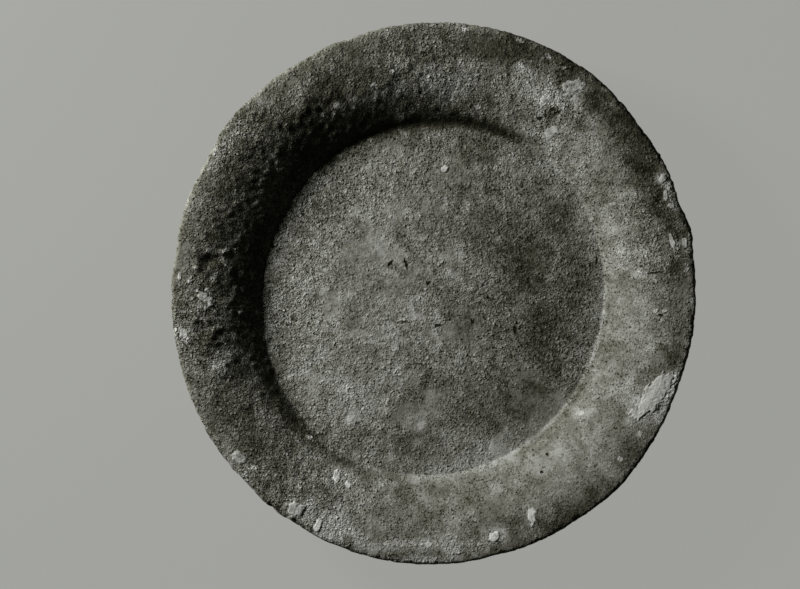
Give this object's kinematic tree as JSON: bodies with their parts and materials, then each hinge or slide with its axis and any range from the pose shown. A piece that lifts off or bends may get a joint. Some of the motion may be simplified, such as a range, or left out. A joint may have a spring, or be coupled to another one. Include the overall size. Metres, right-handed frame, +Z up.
{
  "type": "shallow dish",
  "caption": "Round shallow dish of weathered grey stone with a flat sunken floor, a broad convex rim, a blunt lip and pale lime crusts.",
  "frame": {"origin": "centre of the dish's box in plan, at the underside of the foot", "axes": "+Z up out of the well, +Y the long way of the slightly oval outline, +X to the right when seen from above with +Y at the top"},
  "size_m": [0.1528, 0.158, 0.0181],
  "materials": {
    "weathered_stone": "rough, granular, weathered",
    "lime_crust": "rough, chalky"
  },
  "bodies": {
    "root": {"dish_body": "weathered_stone", "lime_slab_right": "lime_crust", "lime_patch_lower_right": "lime_crust", "lime_patch_bottom_bright": "lime_crust", "lime_spot_bottom_a": "lime_crust", "lime_spot_bottom_b": "lime_crust", "lime_streak_bottom": "lime_crust", "lime_patch_lower_left": "lime_crust", "lime_flake_lower_left": "lime_crust", "lime_patch_wall_lower_left": "lime_crust", "lime_spot_wall_lower_left": "lime_crust", "lime_patch_left_low": "lime_crust", "lime_spot_left_low": "lime_crust", "lime_spot_left_upper": "lime_crust", "lime_patch_left_rim": "lime_crust", "lime_patch_wall_upper_right": "lime_crust", "lime_patch_upper_right": "lime_crust", "lime_patch_upper_right_inner": "lime_crust", "lime_patch_edge_right_a": "lime_crust", "lime_streak_edge_right_b": "lime_crust", "lime_patch_edge_right_c": "lime_crust", "lime_spot_edge_right_d": "lime_crust", "lime_spot_right_rim": "lime_crust", "lime_spot_wall_right": "lime_crust", "lime_spot_lower_right_a": "lime_crust", "lime_spot_lower_right_b": "lime_crust", "lime_lump_well_floor": "lime_crust"}
  },
  "joints": []
}
